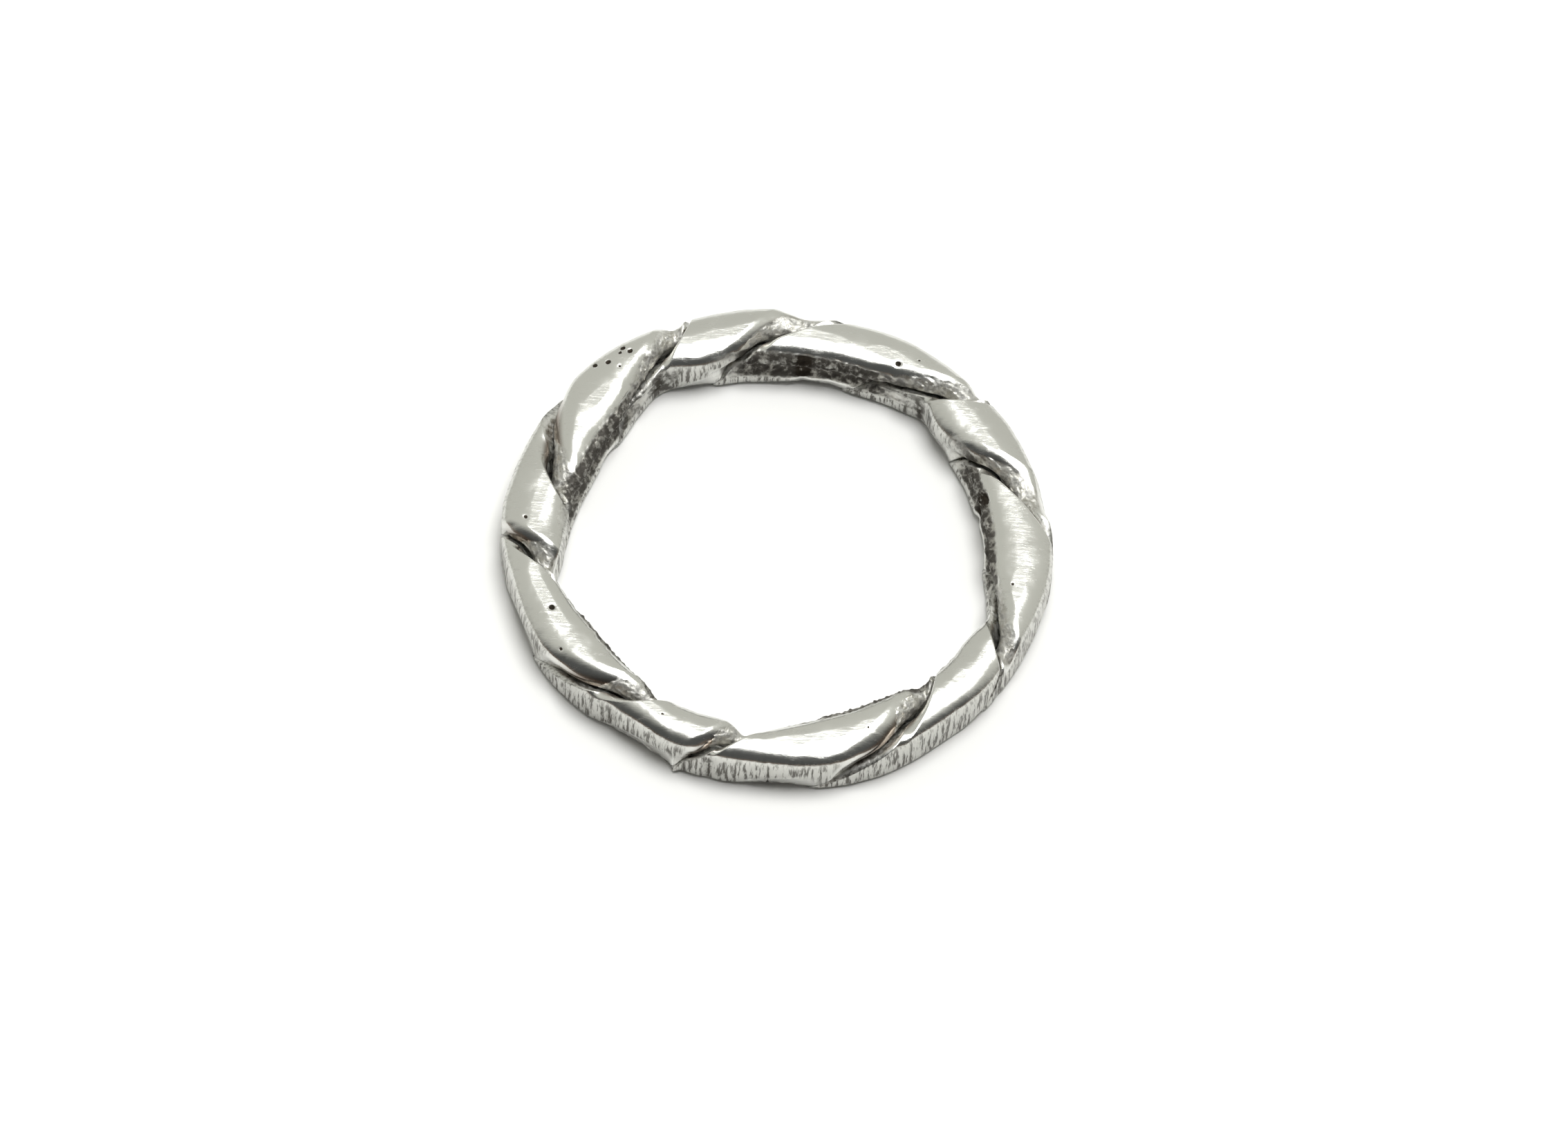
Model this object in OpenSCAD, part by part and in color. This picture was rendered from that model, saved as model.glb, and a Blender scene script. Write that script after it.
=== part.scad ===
// Twisted ring puzzle: two cast strands, wound round each other five times and
// closed into a ring that lies flat. On top, one shows as long lobes and the
// other as short ones. Millimetres, +Z up, origin on the ground plane in the
// middle of the hole.

/* [Ring] */
// Mean diameter over the rim
rim_d = 49.7; // [48.7:0.2:53.1]
// Mean diameter of the hole, half way along the long lobes
hole_d = 38; // [37:0.2:38.8]
// Height of the ring as it lies flat
band_h = 4.8; // [4.4:0.1:5.2]
// How far rim and hole wave, as a share of the casting's own waves
unevenness = 1; // [0:0.1:1.2]

/* [Twist] */
// Times that the strands wind round each other on the way round the ring
turns = 5; // [5:1:6]
// Share of one turn in which the steep groove crosses the top
steep_share = 0.125; // [0.11:0.005:0.15]
// Share of one turn in which the slanted groove crosses the top
slanted_share = 0.2; // [0.18:0.005:0.22]
// Share of one turn from a steep groove's start to the slanted groove's start
slanted_start = 0.34; // [0.32:0.005:0.36]
// Direction of the first steep groove, where it starts at the hole
first_groove = 123.7; // [0:0.1:359.9]

/* [Fit] */
// Free gap between the two strands
strand_gap = 0.3; // [0.28:0.02:0.4]

/* [Lobes] */
// Depth of the grooves on top, as a share of the way to the middle
groove_depth = 0.76; // [0.6:0.02:0.8]
// Depth of the grooves underneath, as a share of the way to the middle
underside_depth = 0.36; // [0.2:0.02:0.5]
// Depth of the grooves in the upper half of the walls, as a share of the way to the middle
wall_groove_depth = 0.32; // [0.2:0.02:0.4]
// Angle over which a lobe rounds off into a groove on the groove's wide side
wide_flank = 70; // [50:1:80]
// The same angle on the groove's steep side
steep_flank = 20; // [16:1:30]
// Depth of the valley in the hole's wall, as a share of the way to the middle
valley_depth = 0.24; // [0.1:0.02:0.3]
// Width of the ellipse that the lobes are crowned to on top, over the width of the band
crown_width = 1.3; // [1.2:0.05:1.6]
// The same ratio underneath, where the ring is filed almost flat
underside_width = 4; // [2:0.5:6]
// Depth of the worn flats on top of the lobes and under them
worn_flat = 0.02; // [0.01:0.01:0.12]

/* [Hidden] */

stations_per_turn = 52;
station_knots = [[0, 0], [32, 0.42], [52, 1]];  // closer where the grooves run steeply
arc_steps = 18;
edge_sharpness = 14;           // of the edges between the crowns and the walls
blend = 0.015;                 // share of a turn over which a groove bends
middle = [0.054, 0.054];       // of the uneven rim's box, which becomes the origin
gap_reach = 1.2;               // how much further out the strands' arcs start than the groove's floor

stations = turns * stations_per_turn;
turn_angle = 360 / turns;
band_w = (rim_d - hole_d) / 2 - 1;
corner = atan2(band_h, band_w);

// The two grooves. Each one is where the strands part on the band's skin, as an
// angle about the middle of the section: 0 is the rim, 90 the top, 180 the hole.
// It crosses the top, runs down the rim, crosses underneath and climbs the hole.
// The knots give the share of a turn at which it reaches each edge of the band.
steep_knots = [[0, 180 - corner], [steep_share, corner], [0.23, -corner],
    [0.66, corner - 180], [1, -180 - corner]];
slanted_knots = [[0, 180 - corner], [0.4 * slanted_share, 90], [slanted_share, corner],
    [0.5, -corner], [0.83, corner - 180], [1, -180 - corner]];
slanted_drift = [[0, 0], [0.09, 4], [0.29, 8], [0.49, -4], [0.69, -6], [0.89, -8], [1, 0]];

// Which lobe has the wide flank beside each groove, turn by turn: 1 for the long
// one and 0 for the short one. It changes where the groove runs underneath.
steep_sides = [1, 1, 1, 0, 0];
slanted_sides = [0, 0, 1, 1, 1];
function side(k, sides) = sides[min((k + turns) % turns, len(sides) - 1)];
function long_side(t, sides) =
    let (k = floor(t + 0.15))
    lookup(t - k, [[0.45, side(k, sides)], [0.85, side(k + 1, sides)]]);
function steep_side(t) = long_side(t, steep_sides);
function slanted_side(t) = long_side(t - slanted_start, slanted_sides);

function wound(t, knots) = lookup(t - floor(t), knots) - 360 * floor(t);
function groove(t, knots) =
    (wound(t - blend, knots) + wound(t, knots) + wound(t + blend, knots)) / 3;

// An edge of a strand at t turns: the groove's angle there, and half of the gap
// in the section's plane, which is wider where the groove runs less along the ring
function path_per_angle(a) = 1 / max(pow(cos(a), 2) * 2 / band_w, pow(sin(a), 2) * 2 / band_h);
function climb(t, knots) =
    let (
        a = groove(t, knots),
        fall = (groove(t - blend, knots) - groove(t + blend, knots)) / (2 * blend * turn_angle))
    fall * path_per_angle(a) / (rim_d / 2 - band_w / 2 * (1 - cos(a)));
function edge(t, knots) = [groove(t, knots), strand_gap / 2 * norm([1, climb(t, knots)])];
function steep_edge(t) = edge(t, steep_knots);
function slanted_edge(t) = let (plain = edge(t - slanted_start, slanted_knots))
    [plain[0] + unevenness * smooth(t / turns, slanted_drift, 0.03), plain[1]];

// Outlines seen from above, as a radius at t turns clockwise from the first
// steep groove. Each has a wave that repeats every turn, deepest where a steep
// groove meets the hole, and a drift of its own round the ring, because the
// casting was finished by hand.
hole_wave = [[0, 1.6], [0.1, 0.5], [0.33, 0.35], [0.5, 0], [0.75, 0], [0.9, 0.9], [1, 1.6]];
hole_drift = [[0, 0], [0.06, -0.3], [0.11, -0.2], [0.14, 0.4], [0.2, -0.5], [0.3, -0.4],
    [0.36, 0], [0.4, 0.3], [0.44, 0.9], [0.5, 0.2], [0.58, 0.4], [0.64, 0.9], [0.68, 0.7],
    [0.72, 0.2], [0.8, 0.2], [0.87, -0.9], [0.94, -0.5], [1, 0]];
rim_wave = [[0, -0.2], [0.25, 0], [0.4, -0.25], [0.8, 0.1], [1, -0.2]];
rim_drift = [[0, 0.4], [0.04, -0.2], [0.08, 0.4], [0.12, -0.6], [0.18, -0.1], [0.24, -0.1],
    [0.34, 0.4], [0.42, 0.1], [0.47, 0], [0.52, 0.4], [0.58, -0.1], [0.65, -0.2],
    [0.68, -0.8], [0.72, -0.1], [0.78, -0.2], [0.84, 0.4], [0.92, 0], [1, 0.4]];

function around(x, knots) = lookup(x - floor(x), knots);
function smooth(x, knots, reach) =
    (around(x - reach, knots) + around(x, knots) + around(x + reach, knots)) / 3;
function hole_r(t) = hole_d / 2 + smooth(t, hole_wave, 0.03)
    + unevenness * smooth(t / turns, hole_drift, 0.015);
function rim_r(t) = rim_d / 2 + smooth(t, rim_wave, 0.05)
    + unevenness * smooth(t / turns, rim_drift, 0.015);

// Distance from the middle of the section to the uncut band, toward angle a:
// upright walls, and an ellipse for the top and the underside
function band(a, half_w) =
    let (
        wall = abs(cos(a)) / half_w,
        width = half_w * (sin(a) > 0 ? crown_width : underside_width),
        crown = norm([cos(a) / width, sin(a) / (band_h / 2 + worn_flat)]))
    pow(pow(wall, edge_sharpness) + pow(crown, edge_sharpness), -1 / edge_sharpness);

// How far the band is cut away, as a share: a lobe falls off toward each of its
// two grooves, but where a groove runs along a wall, only the upper strand
// does, and the lower one keeps its crisp edge
function unit(x) = min(max(x, 0), 1);
function depth(s) = sin(s) > 0
    ? wall_groove_depth + (groove_depth - wall_groove_depth) * pow(sin(s), 2)
    : wall_groove_depth * unit(1 + 2 * sin(s)) + underside_depth * pow(sin(s), 4);
function flank(from_groove, wide) =
    pow(unit(1 - from_groove / (steep_flank + (wide_flank - steep_flank) * wide)), 1.4);
function first_flank(a, s, wide) = depth(s) * unit((cos(s) + 0.85) / 0.5) * flank(a - s, wide);
function last_flank(a, s, wide) = depth(s) * unit((0.85 - cos(s)) / 0.5) * flank(s - a, wide);

// The valley along the hole's wall, above a narrow strip that is cut flush. It
// fades out at both ends of a long lobe.
valley_middle = 184;
valley_reach = 24;
valley_ends = [[0, 0], [0.15, 0], [0.3, 1], [0.8, 1], [1, 0]];
function valley(a, t) = let (off = a - 360 * floor(a / 360) - valley_middle)
    valley_depth * around(t, valley_ends)
    * (abs(off) < valley_reach ? pow(cos(90 * off / valley_reach), 1.5) : 0);

// An edge is [angle, half of the gap, share of the wide flank] from here on
function skin(t, a, first, last, half_w) = band(a, half_w)
    * (1 - first_flank(a, first[0], first[2]) - last_flank(a, last[0], last[2]) - valley(a, t));

function worn(z) = min(max(z, -band_h / 2), band_h / 2);
function at(radius, a) = [radius * cos(a), worn(radius * sin(a))];

// The point of a strand that is nearest to the middle of the section
function heart(first, last) =
    let (
        half = (last[0] - first[0]) / 2,
        mid = (first[0] + last[0]) / 2,
        away = (first[1] + last[1]) / 2 / sin(half))
    [away * cos(mid), away * sin(mid)];

// One section of a strand between its first and its last edge: the heart and
// the arc over the lobe, whose ends keep half the gap away from the grooves
function section(t, first, last, half_w) =
    let (
        from = first[0] + asin(first[1] / gap_reach / skin(t, first[0], first, last, half_w)),
        to = last[0] - asin(last[1] / gap_reach / skin(t, last[0], first, last, half_w)))
    concat(
        [heart(first, last)],
        [for (i = [0 : arc_steps])
            let (c = from + i / arc_steps * (to - from)) at(skin(t, c, first, last, half_w), c)]);

// A closed strand between two grooves: every section stands upright at its own
// place on the ring, given as [direction, middle radius, outline]
function placed(t, first, last) =
    let (inner = hole_r(t), outer = rim_r(t))
    [first_groove - turn_angle * t, (inner + outer) / 2,
        section(t, first, last, (outer - inner) / 2)];

function turns_at(i) = let (k = floor(i / stations_per_turn))
    k + lookup(i - k * stations_per_turn, station_knots);

module strand(sections) {
    n = len(sections[0][2]);
    points = [for (s = sections, p = s[2])
        let (r = s[1] + p[0])
        [r * cos(s[0]) - middle[0], r * sin(s[0]) - middle[1], band_h / 2 + p[1]]];
    faces = [for (i = [0 : stations - 1], j = [0 : n - 1])
        let (
            i2 = (i + 1) % stations,
            j2 = (j + 1) % n,
            a = i * n + j,
            b = i * n + j2,
            c = i2 * n + j2,
            d = i2 * n + j)
        each [[a, c, b], [a, d, c]]];
    polyhedron(points, faces);
}

module long_lobe_strand() {
    color("silver")
        strand([for (i = [0 : stations - 1])
            let (t = turns_at(i))
                placed(t, concat(slanted_edge(t), slanted_side(t)),
                    concat(steep_edge(t - 1), steep_side(t)))]);
}

module short_lobe_strand() {
    color("gainsboro")
        strand([for (i = [0 : stations - 1])
            let (t = turns_at(i))
                placed(t, concat(steep_edge(t), 1 - steep_side(t)),
                    concat(slanted_edge(t), 1 - slanted_side(t)))]);
}

long_lobe_strand();
short_lobe_strand();
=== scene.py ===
"""Twisted ring puzzle: two cast strands, wound round each other five times.

The CAD strands are replaced by finer ones with the same form: polished crowns, rough as-cast
flanks and valleys, filed walls, casting pits, scars and a casting bead. Metres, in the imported
model's frame.
"""
import math

import bpy
import numpy as np
from mathutils import Matrix, Vector


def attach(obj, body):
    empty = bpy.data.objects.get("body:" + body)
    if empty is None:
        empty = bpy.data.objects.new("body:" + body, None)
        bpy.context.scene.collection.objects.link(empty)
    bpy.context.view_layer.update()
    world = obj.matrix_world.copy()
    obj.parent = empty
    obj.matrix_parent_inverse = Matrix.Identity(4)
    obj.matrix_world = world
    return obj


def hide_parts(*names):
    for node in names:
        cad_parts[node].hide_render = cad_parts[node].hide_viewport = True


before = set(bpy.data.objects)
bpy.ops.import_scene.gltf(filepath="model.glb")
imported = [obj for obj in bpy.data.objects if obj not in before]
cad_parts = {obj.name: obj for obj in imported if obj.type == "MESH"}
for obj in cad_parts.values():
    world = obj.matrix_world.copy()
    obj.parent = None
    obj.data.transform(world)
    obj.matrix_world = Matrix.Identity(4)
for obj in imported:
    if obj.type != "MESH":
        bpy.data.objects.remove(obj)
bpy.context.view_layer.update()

MM = 0.001

# ---------------------------------------------------------------- form, as in the CAD part
# Lengths in mm, angles in degrees
TURNS = 5
TURN_ANGLE = 360 / TURNS
RIM_D = 49.7
HOLE_D = 38.0
BAND_H = 4.8
STEEP_SHARE = 0.125
SLANTED_SHARE = 0.2
SLANTED_START = 0.34
FIRST_GROOVE = 123.7
STRAND_GAP = 0.21    # narrower than in the CAD part, so that the seam shows as a line
GROOVE_DEPTH = 0.76  # depths are shares of the way to the middle of the section
UNDERSIDE_DEPTH = 0.36
WALL_GROOVE_DEPTH = 0.32
WIDE_FLANK = 70      # angles over which a lobe rounds off into a groove
STEEP_FLANK = 20
FLANK_POWER = 1.4
FLANK_GONE = 0.85    # cosine of its groove's angle, towards hole or rim, where a flank has gone
FLANK_FADE = 0.5
VALLEY_DEPTH = 0.24
VALLEY_MIDDLE = 184
VALLEY_REACH = 24
VALLEY_POWER = 1.5
CROWN_WIDTH = 1.3
UNDERSIDE_WIDTH = 4
WORN_FLAT = 0.02
EDGE_SHARPNESS = 14  # of the edges between the crowns and the walls
BLEND = 0.015        # share of a turn over which a groove bends
GAP_REACH = 1.2      # how much further out the arcs start than the groove's floor
MIDDLE = (0.054, 0.054)  # of the uneven rim's box, which becomes the origin
BAND_W = (RIM_D - HOLE_D) / 2 - 1
CORNER = math.degrees(math.atan2(BAND_H, BAND_W))

# Share of a turn at which each groove reaches each edge of the band, and its angle there. The
# slanted groove has a knot at the middle of the top as well.
STEEP_KNOTS = ((0, STEEP_SHARE, 0.23, 0.66, 1),
               (180 - CORNER, CORNER, -CORNER, CORNER - 180, -180 - CORNER))
SLANTED_KNOTS = ((0, 0.4 * SLANTED_SHARE, SLANTED_SHARE, 0.5, 0.83, 1),
                 (180 - CORNER, 90, CORNER, -CORNER, CORNER - 180, -180 - CORNER))
SLANTED_DRIFT = ((0, 0.09, 0.29, 0.49, 0.69, 0.89, 1), (0, 4, 8, -4, -6, -8, 0))

# Outlines from above: a wave that repeats every turn, and a drift round the whole ring
HOLE_WAVE = ((0, 0.1, 0.33, 0.5, 0.75, 0.9, 1), (1.6, 0.5, 0.35, 0, 0, 0.9, 1.6))
HOLE_DRIFT = ((0, 0.06, 0.11, 0.14, 0.2, 0.3, 0.36, 0.4, 0.44, 0.5, 0.58, 0.64, 0.68, 0.72, 0.8,
               0.87, 0.94, 1),
              (0, -0.3, -0.2, 0.4, -0.5, -0.4, 0, 0.3, 0.9, 0.2, 0.4, 0.9, 0.7, 0.2, 0.2, -0.9,
               -0.5, 0))
RIM_WAVE = ((0, 0.25, 0.4, 0.8, 1), (-0.2, 0, -0.25, 0.1, -0.2))
RIM_DRIFT = ((0, 0.04, 0.08, 0.12, 0.18, 0.24, 0.34, 0.42, 0.47, 0.52, 0.58, 0.65, 0.68, 0.72,
              0.78, 0.84, 0.92, 1),
             (0.4, -0.2, 0.4, -0.6, -0.1, -0.1, 0.4, 0.1, 0, 0.4, -0.1, -0.2, -0.8, -0.1, -0.2,
              0.4, 0, 0.4))
VALLEY_ENDS = ((0, 0.15, 0.3, 0.8, 1), (0, 0, 1, 1, 0))
# How far to each side these are smoothed
SLANTED_SMOOTHING = 0.03
HOLE_SMOOTHING = 0.03
RIM_SMOOTHING = 0.05
DRIFT_SMOOTHING = 0.015

# For each turn, 1 where the long lobe has the wide flank beside the groove, and 0 where the
# short lobe has it. A side holds over SIDE_HELD, in turns from the groove's start, and then
# passes into the next.
STEEP_GROOVE_SIDES = (1, 1, 1, 0, 0)
SLANTED_GROOVE_SIDES = (0, 0, 1, 1, 1)
SIDE_HELD = (-0.15, 0.45)

# Rounding of the lobes above the valley, mostly long ones, which the CAD part leaves crisp
SHOULDER_MIDDLE = 150
SHOULDER_REACH = 32
SHOULDER_DEPTH = 0.07

# ---------------------------------------------------------------- fineness of the meshes
STATIONS = 960     # round the ring
ARC_STEPS = 92     # over a lobe
GAP_STEPS = 4      # from the middle of the section to each end of the arc


def sind(a):
    return np.sin(np.radians(a))


def cosd(a):
    return np.cos(np.radians(a))


def unit(x):
    """x kept within 0 to 1."""
    return np.clip(x, 0, 1)


def ease(x):
    """0 to 1 with level ends."""
    x = unit(x)
    return x * x * (3 - 2 * x)


# ---------------------------------------------------------------- grooves and outlines
def wound(t, knots):
    """Angle in the section, falling by a full turn with every turn of t."""
    whole = np.floor(t)
    return np.interp(t - whole, *knots) - 360 * whole


def groove(t, knots):
    return (wound(t - BLEND, knots) + wound(t, knots) + wound(t + BLEND, knots)) / 3


def edge(t, knots):
    """Angle of a groove at t turns, and half of the gap in the section's plane."""
    a = groove(t, knots)
    fall = (groove(t - BLEND, knots) - groove(t + BLEND, knots)) / (2 * BLEND * TURN_ANGLE)
    path_per_angle = 1 / np.maximum(cosd(a) ** 2 * 2 / BAND_W, sind(a) ** 2 * 2 / BAND_H)
    climb = fall * path_per_angle / (RIM_D / 2 - BAND_W / 2 * (1 - cosd(a)))
    return a, STRAND_GAP / 2 * np.hypot(1, climb)


def steep_edge(t):
    return edge(t, STEEP_KNOTS)


def slanted_edge(t):
    angle, half_gap = edge(t - SLANTED_START, SLANTED_KNOTS)
    return angle + smooth(t / TURNS, SLANTED_DRIFT, SLANTED_SMOOTHING), half_gap


def around(x, knots):
    """Value from knots over 0 to 1, which repeat."""
    return np.interp(x - np.floor(x), *knots)


def smooth(x, knots, reach):
    return (around(x - reach, knots) + around(x, knots) + around(x + reach, knots)) / 3


def hole_r(t):
    wave = smooth(t, HOLE_WAVE, HOLE_SMOOTHING)
    return HOLE_D / 2 + wave + smooth(t / TURNS, HOLE_DRIFT, DRIFT_SMOOTHING)


def rim_r(t):
    wave = smooth(t, RIM_WAVE, RIM_SMOOTHING)
    return RIM_D / 2 + wave + smooth(t / TURNS, RIM_DRIFT, DRIFT_SMOOTHING)


# ---------------------------------------------------------------- section of a strand
def band(a, half_w):
    """Radius of the uncut band, and how much of it is upright wall."""
    wall = (np.abs(cosd(a)) / half_w) ** EDGE_SHARPNESS
    width = half_w * np.where(sind(a) > 0, CROWN_WIDTH, UNDERSIDE_WIDTH)
    crown = np.hypot(cosd(a) / width, sind(a) / (BAND_H / 2 + WORN_FLAT))
    crown = crown**EDGE_SHARPNESS
    return (wall + crown) ** (-1 / EDGE_SHARPNESS), wall / (wall + crown)


def depth(s):
    """Share of the way to the middle that a groove at angle s is deep."""
    upper = WALL_GROOVE_DEPTH + (GROOVE_DEPTH - WALL_GROOVE_DEPTH) * sind(s) ** 2
    lower = WALL_GROOVE_DEPTH * unit(1 + 2 * sind(s)) + UNDERSIDE_DEPTH * sind(s) ** 4
    return np.where(sind(s) > 0, upper, lower)


def long_side(t, sides):
    """Share of the wide flank that the long lobe has; it changes where the groove is hidden."""
    start = SIDE_HELD[0]
    knots = [turn + held for turn in range(TURNS) for held in SIDE_HELD] + [TURNS + start]
    values = [side for side in sides for _ in range(2)] + [sides[0]]
    return np.interp((t - start) % TURNS + start, knots, values)


def flank(from_groove, wide):
    """How much of its groove's depth a flank has at an angle from the groove."""
    reach = STEEP_FLANK + (WIDE_FLANK - STEEP_FLANK) * wide
    return unit(1 - from_groove / reach) ** FLANK_POWER


def first_flank(a, s, wide):
    return depth(s) * unit((cosd(s) + FLANK_GONE) / FLANK_FADE) * flank(a - s, wide)


def last_flank(a, s, wide):
    return depth(s) * unit((FLANK_GONE - cosd(s)) / FLANK_FADE) * flank(s - a, wide)


def valley(a, t):
    off = a % 360 - VALLEY_MIDDLE
    bowl = np.where(np.abs(off) < VALLEY_REACH, cosd(90 * unit(np.abs(off) / VALLEY_REACH)), 0)
    return VALLEY_DEPTH * around(t, VALLEY_ENDS) * np.maximum(bowl, 0) ** VALLEY_POWER


def shoulder(a, t):
    off = np.abs(a % 360 - SHOULDER_MIDDLE) / SHOULDER_REACH
    return SHOULDER_DEPTH * around(t, VALLEY_ENDS) * np.cos(np.pi / 2 * unit(off)) ** 2


def polar(radius, angle):
    return np.stack([radius * cosd(angle), radius * sind(angle)], -1)


def floor_radius(t, a, first, last, wide, half_w):
    """Radius at a groove, without the surface's finish."""
    cut = first_flank(a, first, wide[0]) + last_flank(a, last, wide[1]) + valley(a, t)
    return band(a, half_w)[0] * (1 - cut)


def between(p, q, steps):
    """Points after p, up to but not including q."""
    return [p + (q - p) * k / steps for k in range(1, steps)]


def grid_mesh(name, points, layers):
    """A closed surface through rows and columns of points, with a float layer for each mask."""
    rows, cols = points.shape[:2]
    i, j = np.meshgrid(np.arange(rows), np.arange(cols), indexing="ij")
    i2, j2 = (i + 1) % rows, (j + 1) % cols
    quads = np.stack([i * cols + j, i2 * cols + j, i2 * cols + j2, i * cols + j2], -1)
    quads = quads.reshape(-1, 4)
    mesh = bpy.data.meshes.new(name)
    mesh.vertices.add(rows * cols)
    mesh.vertices.foreach_set("co", points.reshape(-1))
    mesh.loops.add(quads.size)
    mesh.loops.foreach_set("vertex_index", quads.reshape(-1).astype(np.int32))
    mesh.polygons.add(len(quads))
    mesh.polygons.foreach_set("loop_start", np.arange(0, quads.size, 4, dtype=np.int32))
    mesh.update(calc_edges=True)
    mesh.polygons.foreach_set("use_smooth", np.ones(len(quads), bool))
    for layer, values in layers.items():
        attribute = mesh.attributes.new(layer, "FLOAT", "POINT")
        attribute.data.foreach_set("value", values.reshape(-1).astype(np.float32))
    obj = bpy.data.objects.new(name, mesh)
    bpy.context.scene.collection.objects.link(obj)
    return obj


# ---------------------------------------------------------------- finish of the surface
WAVE_SPREAD = (0.65, 1.5)   # shortest and longest wave of a noise, as shares of its size


def noise(points, size, seed, waves=28):
    """Smooth noise of about -1 to 1: seeded sine waves, size mm long on average."""
    random = np.random.default_rng(seed)
    ways = random.normal(size=(waves, 3))
    ways /= np.linalg.norm(ways, axis=1)[:, None]
    total = np.zeros(points.shape[:-1])
    for way in ways:
        step = 2 * math.pi / (size * random.uniform(*WAVE_SPREAD))
        total += np.sin(points @ (way * step) + random.uniform(0, 2 * math.pi))
    return total / math.sqrt(2 * waves)


def along(t, t0, r):
    """Distance in mm along the ring from the place at t0 turns."""
    off = (t - t0 + TURNS / 2) % TURNS - TURNS / 2
    return off * math.radians(TURN_ANGLE) * r


def spot(distance, size):
    return np.exp(-(distance / size) ** 2)


# Where the valley's rough skin starts and ends: angle, and degrees over which it fades
VALLEY_SKIN = ((133, 9), (206, 5))
# Depths of the cut at which a skin fades in or out, each with the length of its fade
LONG_CAST_FROM = (0.07, 0.05)    # beside a strand's first and last edge
SHORT_CAST_FROM = (0.05, 0.12)
CAST_FADE = 0.12
FILED_UNTIL = (0.01, 0.05)
# Cut beyond which grime and painted shade deepen in the grooves, and its fade
DEEP_FROM = (0.35, 0.3)
# Cut at which the painted brown reflection starts on the smooth flanks, and its fade
PAINTED_REFLECTION_FROM = (0.1, 0.16)
# Where a strand's first edge is on the rim (cosine of its angle, fade), the cast skin beside it
# starts at a cut deeper by RIM_POLISH
RIM_FROM = (0.55, 0.3)
RIM_POLISH = 0.4

# Relief of the skins (mm): heights, and for each of them the length and the seed of its waves
CAST_HEIGHTS = (0.075, 0.06, 0.04)
CAST_WAVES = ((1.3, 11), (0.6, 12), (0.36, 13))
CROWN_HEIGHTS = (0.03, 0.008, 0.003)
CROWN_WAVES = ((4.5, 14), (2.0, 15), (0.9, 16))
FILED_HEIGHTS = (0.014, 0.03)
FILED_WAVES = ((0.4, 17), (2.4, 18))
UPRIGHT = np.array([1, 1, 0.14])   # draws the file marks out upright

# How dark the grime and painted shade are in each place, and the most that they add up to
VALLEY_GRIME_AND_SHADE = 0.9
FLANK_GRIME_AND_SHADE = 0.55
DEEP_GRIME_AND_SHADE = 0.4
PIT_GRIME_AND_SHADE = 3
MOST_GRIME_AND_SHADE = 2
# The masks inside the gap between the strands
GAP_SKIN = {"rough": 1, "filed": 0, "dark": 0.2, "painted_reflection": 0}

# Casting pits in the lobes: turns round the ring, radius, size, depth (mm)
PITS = (
    (3.846, 22.2, 0.24, 0.3), (0.85, 21.5, 0.22, 0.22), (4.922, 24.2, 0.2, 0.16),
    (4.932, 23.5, 0.22, 0.18), (4.905, 23.9, 0.14, 0.12), (4.854, 23.8, 0.22, 0.18),
    (4.819, 24.4, 0.2, 0.15), (4.87, 22.7, 0.12, 0.08), (0.9, 22.9, 0.1, 0.06),
    (3.7, 23.5, 0.12, 0.07), (2.62, 22.4, 0.1, 0.06), (1.86, 22.0, 0.13, 0.07),
    (4.2, 22.9, 0.16, 0.08), (4.12, 23.4, 0.13, 0.07), (3.3, 22.4, 0.1, 0.05),
)
# Upright scars in the walls, and dark marks of painted shade and grime at the hole's concave
# corners (the hole-side entries within a tenth of a turn of a whole turn, one of them without
# depth): turns, rim (1) or hole (-1), width, depth (mm), how dark
SCARS_AND_CORNER_SHADE = (
    (0.521, -1, 0.62, 0.16, 0.25), (2.942, 1, 0.13, 0.12, 0.9), (3.456, 1, 0.95, 0.14, 0.6),
    (3.12, 1, 0.5, 0.2, 0.8), (3.2, 1, 0.6, 0.06, 0.45), (0.99, -1, 0.9, 0.05, 0.9),
    (0.93, -1, 0.5, 0.04, 0.4), (0.03, -1, 1.0, 0.05, 0.6), (4.97, -1, 1.2, 0.0, 0.8),
    (2.16, 1, 0.5, 0.12, 0.4), (1.49, -1, 0.55, 0.3, 0.25),
)
# Casting bead low on the rim: turns, height of its middle, size, how far it stands out (mm)
BEAD = (3.22, 0.7, 0.5, 0.5)


def fade_in(value, start, fade):
    """0 below the start, 1 beyond the fade."""
    return ease((value - start) / fade)


def relief(points, heights, waves):
    return sum(height * noise(points, *wave) for height, wave in zip(heights, waves))


def cast_relief(points):
    """As-cast skin, whose finest grain is strongest on the coarse bumps."""
    coarse, middle, fine = (noise(points, *wave) for wave in CAST_WAVES)
    bumps, lumps, grain = CAST_HEIGHTS
    return bumps * coarse + lumps * middle + grain * fine * (1 + coarse)


def skins(t, a, cuts, wide, cast_from, wall):
    """Shares of the rough flanks, the rough valley and the filed wall."""
    first_cut, last_cut = cuts[:2]
    flanks = np.maximum(wide[0] * fade_in(first_cut, cast_from[0], CAST_FADE),
                        wide[1] * fade_in(last_cut, cast_from[1], CAST_FADE))
    (start, start_fade), (end, end_fade) = VALLEY_SKIN
    a = a % 360
    bowl = around(t, VALLEY_ENDS) * ease((a - start) / start_fade) * ease((end - a) / end_fade)
    filed = wall * (1 - fade_in(sum(cuts), *FILED_UNTIL))
    return flanks, bowl, filed


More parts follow.
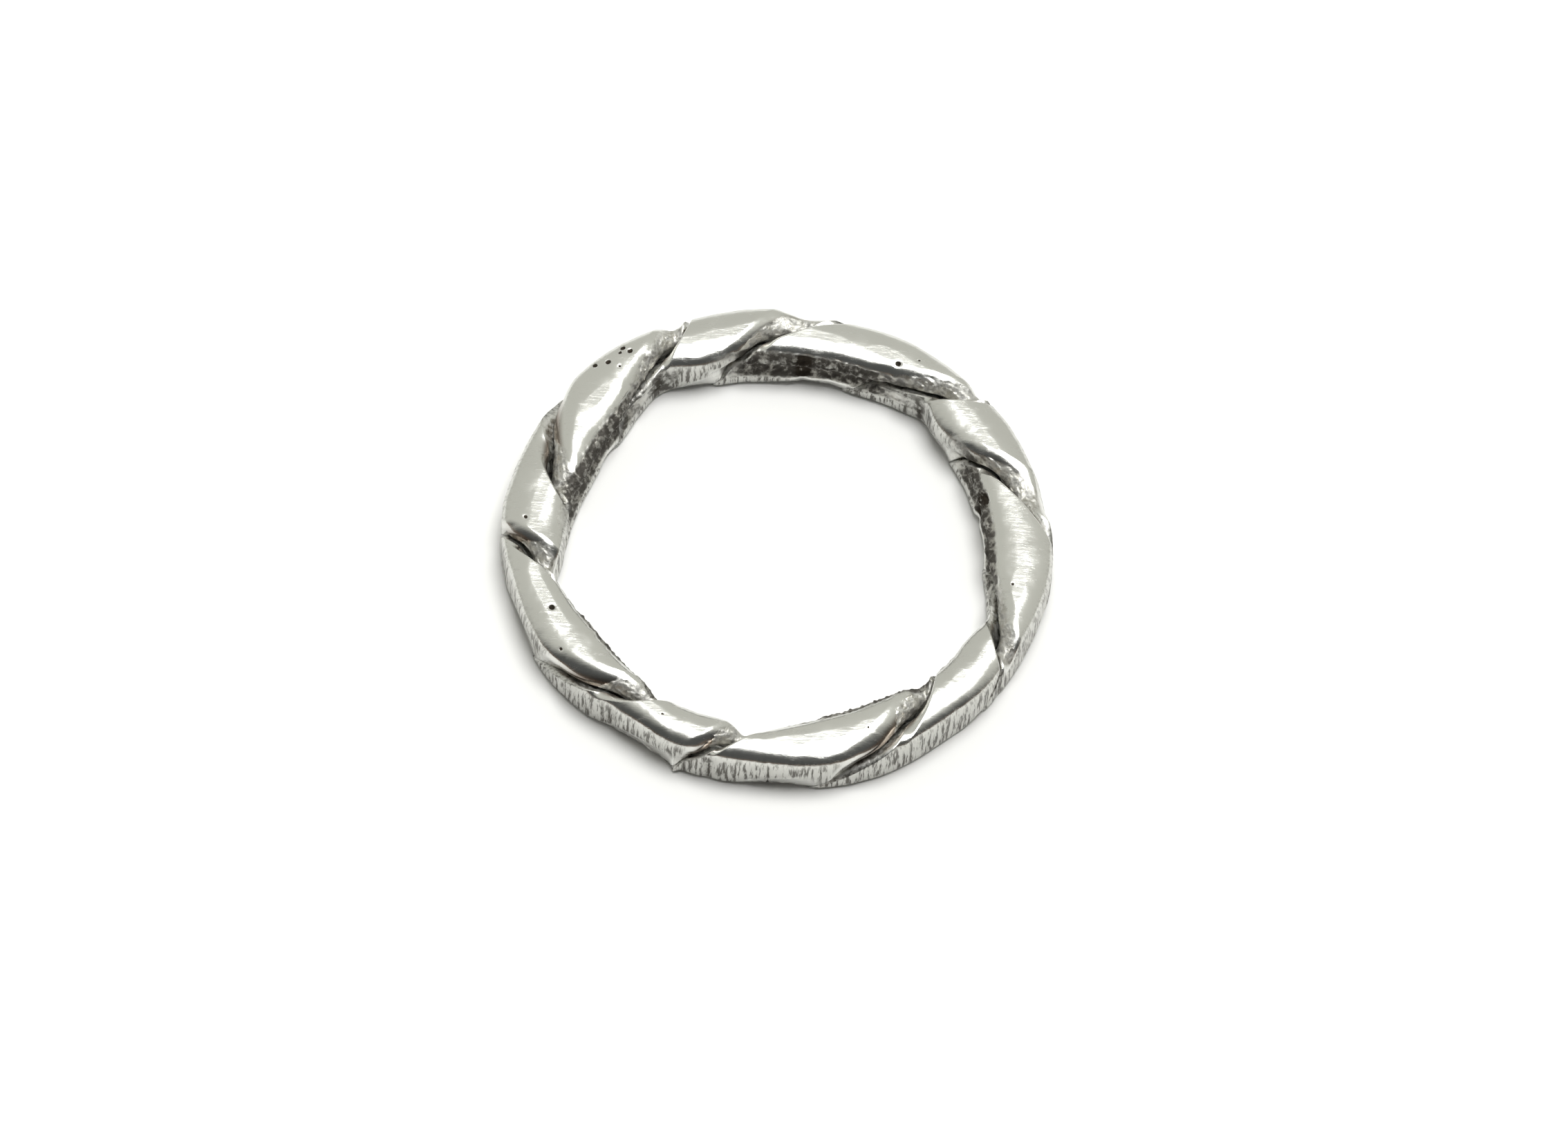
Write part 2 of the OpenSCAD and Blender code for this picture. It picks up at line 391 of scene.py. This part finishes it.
def finish(t, a, base, cuts, wide, cast_from, wall, mid_r):
    """How far the finish moves the skin outward (mm), and the masks for the material.

    base is the radius in the section before the finish, and wide and cast_from have a value for
    the first and the last edge: the share of the wide flank, and the cut where cast skin starts.
    """
    r = mid_r + base * cosd(a)
    z = base * sind(a) + BAND_H / 2
    direction = FIRST_GROOVE - TURN_ANGLE * t
    place = np.stack([r * cosd(direction), r * sind(direction), z], -1)
    flanks, bowl, filed = skins(t, a, cuts, wide, cast_from, wall)
    rough = np.maximum(flanks, bowl)
    crown = (1 - wall) * (1 - rough)
    move = rough * cast_relief(place)
    move += crown * relief(place, CROWN_HEIGHTS, CROWN_WAVES)
    move += filed * relief(place * UPRIGHT, FILED_HEIGHTS, FILED_WAVES)

    flank_cut = cuts[0] + cuts[1]
    # Darker in deep cuts, on the rough flanks and in the valley: grime, and painted shade in these
    # hollows
    dark = DEEP_GRIME_AND_SHADE * fade_in(flank_cut, *DEEP_FROM) + VALLEY_GRIME_AND_SHADE * bowl
    dark += FLANK_GRIME_AND_SHADE * flanks * (1 - bowl)
    # Pits are darkened too, with grime and painted shade
    for turns, radius, size, deep in PITS:
        pit = spot(np.hypot(along(t, turns, r), r - radius), size) * (z > BAND_H / 2)
        move -= deep * pit
        dark += PIT_GRIME_AND_SHADE * pit
    # Scars, and painted shade with grime at the hole's concave corners
    for turns, side, width, deep, shade in SCARS_AND_CORNER_SHADE:
        scar_or_corner_shade = spot(along(t, turns, r), width) * (np.sign(cosd(a)) == side)
        scar_or_corner_shade *= np.maximum(wall, bowl)
        move -= deep * scar_or_corner_shade
        dark += shade * scar_or_corner_shade
    turns, height, size, out = BEAD
    bead = spot(np.hypot(along(t, turns, r), z - height), size) * (cosd(a) > 0)
    move += out * bead
    dark = np.clip(dark - bead, 0, MOST_GRIME_AND_SHADE)
    # Painted reflection: brown on the smooth flanks where the cut deepens, in place of the dark
    # brown room that they reflect
    painted_reflection = fade_in(flank_cut, *PAINTED_REFLECTION_FROM) * (1 - rough)
    return move, {"rough": rough, "filed": filed, "dark": dark, "painted_reflection": painted_reflection}


def strand_grid(first_edge, last_edge, flanks, cast_from):
    """Points of a strand by row round the ring and column round the section, and masks."""
    t = np.arange(STATIONS)[:, None] * TURNS / STATIONS
    wide = flanks(t)
    (first, first_gap), (last, last_gap) = first_edge(t), last_edge(t)
    inner, outer = hole_r(t), rim_r(t)
    half_w, mid_r = (outer - inner) / 2, (inner + outer) / 2
    half, mid = (last - first) / 2, (first + last) / 2
    heart = polar((first_gap + last_gap) / 2 / sind(half), mid)
    first_floor = floor_radius(t, first, first, last, wide, half_w)
    last_floor = floor_radius(t, last, first, last, wide, half_w)
    start = first + np.degrees(np.arcsin(first_gap / GAP_REACH / first_floor))
    end = last - np.degrees(np.arcsin(last_gap / GAP_REACH / last_floor))
    angle = start + np.linspace(0, 1, ARC_STEPS + 1)[None, :] * (end - start)
    uncut, wall = band(angle, half_w)
    first_cut = first_flank(angle, first, wide[0])
    last_cut = last_flank(angle, last, wide[1])
    cuts = first_cut, last_cut, valley(angle, t)
    radius = uncut * (1 - sum(cuts)) * (1 - shoulder(angle, t))
    first_cast = cast_from[0] + RIM_POLISH * fade_in(cosd(first), *RIM_FROM)
    cast_from = first_cast, cast_from[1]
    move, layers = finish(t, angle, radius, cuts, wide, cast_from, wall, mid_r)
    arc = polar(radius + move, angle)
    inside = [heart] + between(heart, arc[:, :1], GAP_STEPS)
    back_in = between(arc[:, -1:], heart, GAP_STEPS)
    section = np.concatenate(inside + [arc] + back_in, 1)
    z = np.clip(section[..., 1], -BAND_H / 2, BAND_H / 2) + BAND_H / 2
    r = mid_r + section[..., 0]
    direction = FIRST_GROOVE - TURN_ANGLE * t
    x, y = r * cosd(direction) - MIDDLE[0], r * sind(direction) - MIDDLE[1]
    for name, values in layers.items():
        lead = np.full((STATIONS, len(inside)), GAP_SKIN[name])
        tail = np.full((STATIONS, len(back_in)), GAP_SKIN[name])
        layers[name] = np.concatenate([lead, values, tail], 1)
    return np.stack([x, y, z], -1) * MM, layers


def long_flanks(t):
    """Shares of the wide flank at the long lobes' first and last edge."""
    slanted = long_side(t - SLANTED_START, SLANTED_GROOVE_SIDES)
    return slanted, long_side(t, STEEP_GROOVE_SIDES)


def short_flanks(t):
    """The same for the short lobes, which have the other side of each groove."""
    slanted, steep = long_flanks(t)
    return 1 - steep, 1 - slanted


def make_strand(name, node, body, first_edge, last_edge, flanks, cast_from):
    points, layers = strand_grid(first_edge, last_edge, flanks, cast_from)
    obj = grid_mesh(name, points, layers)
    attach(obj, body)
    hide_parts(node)
    return obj


# ---------------------------------------------------------------- camera
VIEW_ELEVATION = 57.5
VIEW_ROLL = 4.2
VIEW_AIM = Vector((0.793, -0.789, 0)) * MM
VIEW_DISTANCE = 1.2
SENSOR_WIDTH = 36
LENS = 302.4         # shows a seventh of a metre across, at VIEW_DISTANCE


def make_camera():
    data = bpy.data.cameras.new("camera")
    cam = bpy.data.objects.new("camera", data)
    bpy.context.scene.collection.objects.link(cam)
    elevation = math.radians(VIEW_ELEVATION)
    back = Vector((0, -math.cos(elevation), math.sin(elevation)))
    cam.location = VIEW_AIM + back * VIEW_DISTANCE
    aim = back.to_track_quat("Z", "Y").to_matrix().to_4x4()
    roll = Matrix.Rotation(math.radians(VIEW_ROLL), 4, "Z")
    cam.matrix_world = Matrix.Translation(cam.location) @ aim @ roll
    data.sensor_width = SENSOR_WIDTH
    data.lens = LENS
    data.clip_start = 0.05
    bpy.context.scene.camera = cam


class Nodes:
    """Short ways to add nodes to a tree and to link them."""

    def __init__(self, tree):
        self.tree = tree

    def add(self, kind, inputs=None, **settings):
        node = self.tree.nodes.new(kind)
        for key, value in settings.items():
            setattr(node, key, value)
        for key, value in (inputs or {}).items():
            self.put(node.inputs[key], value)
        return node

    def put(self, socket, value):
        if isinstance(value, bpy.types.NodeSocket):
            self.tree.links.new(value, socket)
        else:
            socket.default_value = value

    def math(self, operation, *values):
        return self.add("ShaderNodeMath", dict(enumerate(values)), operation=operation).outputs[0]

    def ease(self, value, low, high):
        node = self.add("ShaderNodeMapRange", {"Value": value, "From Min": low, "From Max": high},
                        interpolation_type="SMOOTHSTEP")
        return node.outputs["Result"]

    def mix(self, share, a, b):
        """Colour between a and b; a Mix node's sockets 6, 7 and output 2 are its colours."""
        inputs = {"Factor": share, 6: a, 7: b}
        return self.add("ShaderNodeMix", inputs, data_type="RGBA", clamp_factor=True).outputs[2]

    def weigh(self, value, weight, rest):
        """value * weight + rest"""
        return self.math("MULTIPLY_ADD", value, weight, rest)

    def noise(self, where, scale, detail, rough):
        inputs = {"Vector": where, "Scale": scale, "Detail": detail, "Roughness": rough}
        return self.add("ShaderNodeTexNoise", inputs).outputs["Fac"]

    def layer(self, name):
        node = self.add("ShaderNodeAttribute", attribute_name=name, attribute_type="GEOMETRY")
        return node.outputs["Fac"]


# ---------------------------------------------------------------- light and floor
LAMP_WAY = Vector((0.13, 0.15, 0.98)).normalized()
LAMP_EDGE = (math.cos(math.radians(22)), math.cos(math.radians(10)))   # off and full
LAMP_RADIANCE = (10, 10, 9.9, 1)
BACK_SKY = (0.63, 0.63, 0.58, 1)
FRONT_SKY = (0.085, 0.087, 0.085, 1)
FRONT_HORIZON = (0.19, 0.14, 0.105, 1)
HORIZON_FADE = (0.05, 0.4)     # upward
FRONT_FADE = (-0.35, 0.2)      # from front to back
FLOOR_HALF = 3.0
FLOOR_WHITE = (0.93, 0.93, 0.92, 1)


def make_world():
    """A dark room in front, a grey wall behind, and one large soft lamp overhead."""
    world = bpy.data.worlds.new("studio")
    world.use_nodes = True
    tree = world.node_tree
    n = Nodes(tree)
    way = n.add("ShaderNodeTexCoord").outputs["Generated"]
    parts = n.add("ShaderNodeSeparateXYZ", {0: way})
    front = n.mix(n.ease(parts.outputs["Z"], *HORIZON_FADE), FRONT_HORIZON, FRONT_SKY)
    room = n.mix(n.ease(parts.outputs["Y"], *FRONT_FADE), front, BACK_SKY)
    dot = n.add("ShaderNodeVectorMath", {0: way, 1: LAMP_WAY}, operation="DOT_PRODUCT")
    lamp = n.ease(dot.outputs["Value"], *LAMP_EDGE)
    n.put(tree.nodes["Background"].inputs["Color"], n.mix(lamp, room, LAMP_RADIANCE))
    bpy.context.scene.world = world


def make_floor():
    mesh = bpy.data.meshes.new("floor")
    corners = [(x * FLOOR_HALF, y * FLOOR_HALF, 0) for x, y in ((-1, -1), (1, -1), (1, 1), (-1, 1))]
    mesh.from_pydata(corners, [], [(0, 1, 2, 3)])
    floor = bpy.data.objects.new("floor", mesh)
    bpy.context.scene.collection.objects.link(floor)
    mat = bpy.data.materials.new("floor_white")
    mat.use_nodes = True
    shader = mat.node_tree.nodes["Principled BSDF"]
    shader.inputs["Base Color"].default_value = FLOOR_WHITE
    shader.inputs["Roughness"].default_value = 0.8
    shader.inputs["Specular IOR Level"].default_value = 0.2
    mesh.materials.append(mat)


# ---------------------------------------------------------------- metal
POLISHED = (0.74, 0.74, 0.71, 1)
FILED = (0.6, 0.6, 0.57, 1)
AS_CAST = (0.45, 0.44, 0.4, 1)
# Dark of the grime and painted shade in the hollows
GRIME_AND_SHADE = (0.05, 0.042, 0.033, 1)
# Brown of the painted reflection on the smooth flanks
PAINTED_REFLECTION_COLOUR = (0.16, 0.12, 0.09, 1)
# Textures: scale (per metre), detail, roughness
BLOTCHES = (1500, 4, 0.6)
GRAIN = (5200, 3, 0.6)
STREAKS = (3300, 3, 0.65)
SMUDGES = (420, 5, 0.6)
SCUFFS = (1700, 5, 0.7)
RIPPLES = (2300, 4, 0.7)
# Values of a texture between which it takes effect
CAST_SHINE = (0.36, 0.6)
CAST_DULLNESS = (0.3, 0.65)
MOTTLE = (0.64, 0.88)
FILE_LINES = (0.54, 0.4)
SCUFFED_AT = (0.56, 0.7)
SMUDGED_AT = (0.45, 0.75)
# Most that each covers of what lies under it, and how far the grime and painted shade spread the
# mottle
PAINTED_REFLECTION_COVER = 0.85
LINE_COVER = 0.85
SCUFF_COVER = 0.25
MOTTLE_SPREAD = 0.38
UPRIGHT_SCALE = (1, 1, 0.13)
SCUFF_SCALE = (0.2, 1.6, 1)
SCUFF_TURN = (0, 0, 0.6)
POLISHED_ROUGHNESS = 0.17
BUMP_DISTANCE = 0.06 * MM
BUMP_STRENGTH = 0.8


def metal(name, tone):
    """Cast metal: polished, scuffed crowns, rough flanks darkened by grime and painted shade, a
    painted brown reflection on the smooth flanks, upright file marks.
    """
    mat = bpy.data.materials.new(name)
    mat.use_nodes = True
    n = Nodes(mat.node_tree)
    shader = mat.node_tree.nodes["Principled BSDF"]
    where = n.add("ShaderNodeTexCoord").outputs["Object"]
    upright = n.add("ShaderNodeMapping", {"Vector": where, "Scale": UPRIGHT_SCALE}).outputs[0]
    scuff_way = {"Vector": where, "Rotation": SCUFF_TURN, "Scale": SCUFF_SCALE}
    slanting = n.add("ShaderNodeMapping", scuff_way).outputs[0]
    rough, filed, dark = n.layer("rough"), n.layer("filed"), n.layer("dark")
    # Painted brown reflection on the smooth flanks
    painted_reflection = n.math("MULTIPLY", n.layer("painted_reflection"), PAINTED_REFLECTION_COVER)

    blotches = n.noise(where, *BLOTCHES)
    grain = n.noise(where, *GRAIN)
    streaks = n.noise(upright, *STREAKS)
    smudges = n.noise(where, *SMUDGES)
    scuffs = n.noise(slanting, *SCUFFS)
    ripples = n.noise(where, *RIPPLES)

    polished = tuple(channel * tone for channel in POLISHED[:3]) + (1,)
    cast = n.mix(n.ease(blotches, *CAST_SHINE), AS_CAST, POLISHED)
    lines = n.math("MULTIPLY", filed, n.ease(streaks, *FILE_LINES))
    lines = n.math("MULTIPLY", lines, LINE_COVER)
    # Mottled dark from grime and painted shade, and dark file lines on the walls
    mottle = n.math("ADD", blotches, n.math("MULTIPLY", dark, MOTTLE_SPREAD))
    mottle = n.ease(mottle, *MOTTLE)
    grime_and_shade = n.math("MAXIMUM", lines, n.math("MULTIPLY", mottle, dark))
    scuffed = n.math("MULTIPLY", n.ease(scuffs, *SCUFFED_AT), SCUFF_COVER)
    colour = n.mix(rough, polished, cast)
    # Coats: filed colour, painted brown reflection, grime with painted shade and file lines, and
    # scuffs
    for share, coat in ((filed, FILED), (painted_reflection, PAINTED_REFLECTION_COLOUR), (grime_and_shade, GRIME_AND_SHADE), (scuffed, AS_CAST)):
        colour = n.mix(share, colour, coat)
    n.put(shader.inputs["Base Color"], colour)

    dull = n.math("MULTIPLY", rough, n.ease(blotches, *CAST_DULLNESS))
    smudged = n.ease(smudges, *SMUDGED_AT)
    gloss = POLISHED_ROUGHNESS
    for mask, amount in ((dull, 0.28), (filed, 0.22), (smudged, 0.1), (dark, 0.3), (scuffed, 0.6)):
        gloss = n.weigh(mask, amount, gloss)
    n.put(shader.inputs["Roughness"], gloss)
    shader.inputs["Metallic"].default_value = 1

    height = n.math("MULTIPLY", grain, rough)
    marks = n.math("MULTIPLY", streaks, filed)
    for texture, amount in ((marks, 1.4), (smudges, 0.3), (ripples, 0.15), (scuffs, 0.25)):
        height = n.weigh(texture, amount, height)
    relief_inputs = {"Height": height, "Distance": BUMP_DISTANCE, "Strength": BUMP_STRENGTH}
    n.put(shader.inputs["Normal"], n.add("ShaderNodeBump", relief_inputs).outputs[0])
    return mat


make_camera()
make_world()
make_floor()
bpy.context.scene.view_settings.view_transform = "Standard"

thick = make_strand("long_lobes_fine", "long_lobe_strand", "long_lobes",
                    slanted_edge, lambda t: steep_edge(t - 1), long_flanks, LONG_CAST_FROM)
thin = make_strand("short_lobes_fine", "short_lobe_strand", "short_lobes",
                   steep_edge, slanted_edge, short_flanks, SHORT_CAST_FROM)
for strand, slot, tone in ((thick, "long_lobe_metal", 1), (thin, "short_lobe_metal", 0.98)):
    strand.data.materials.append(metal(slot, tone))
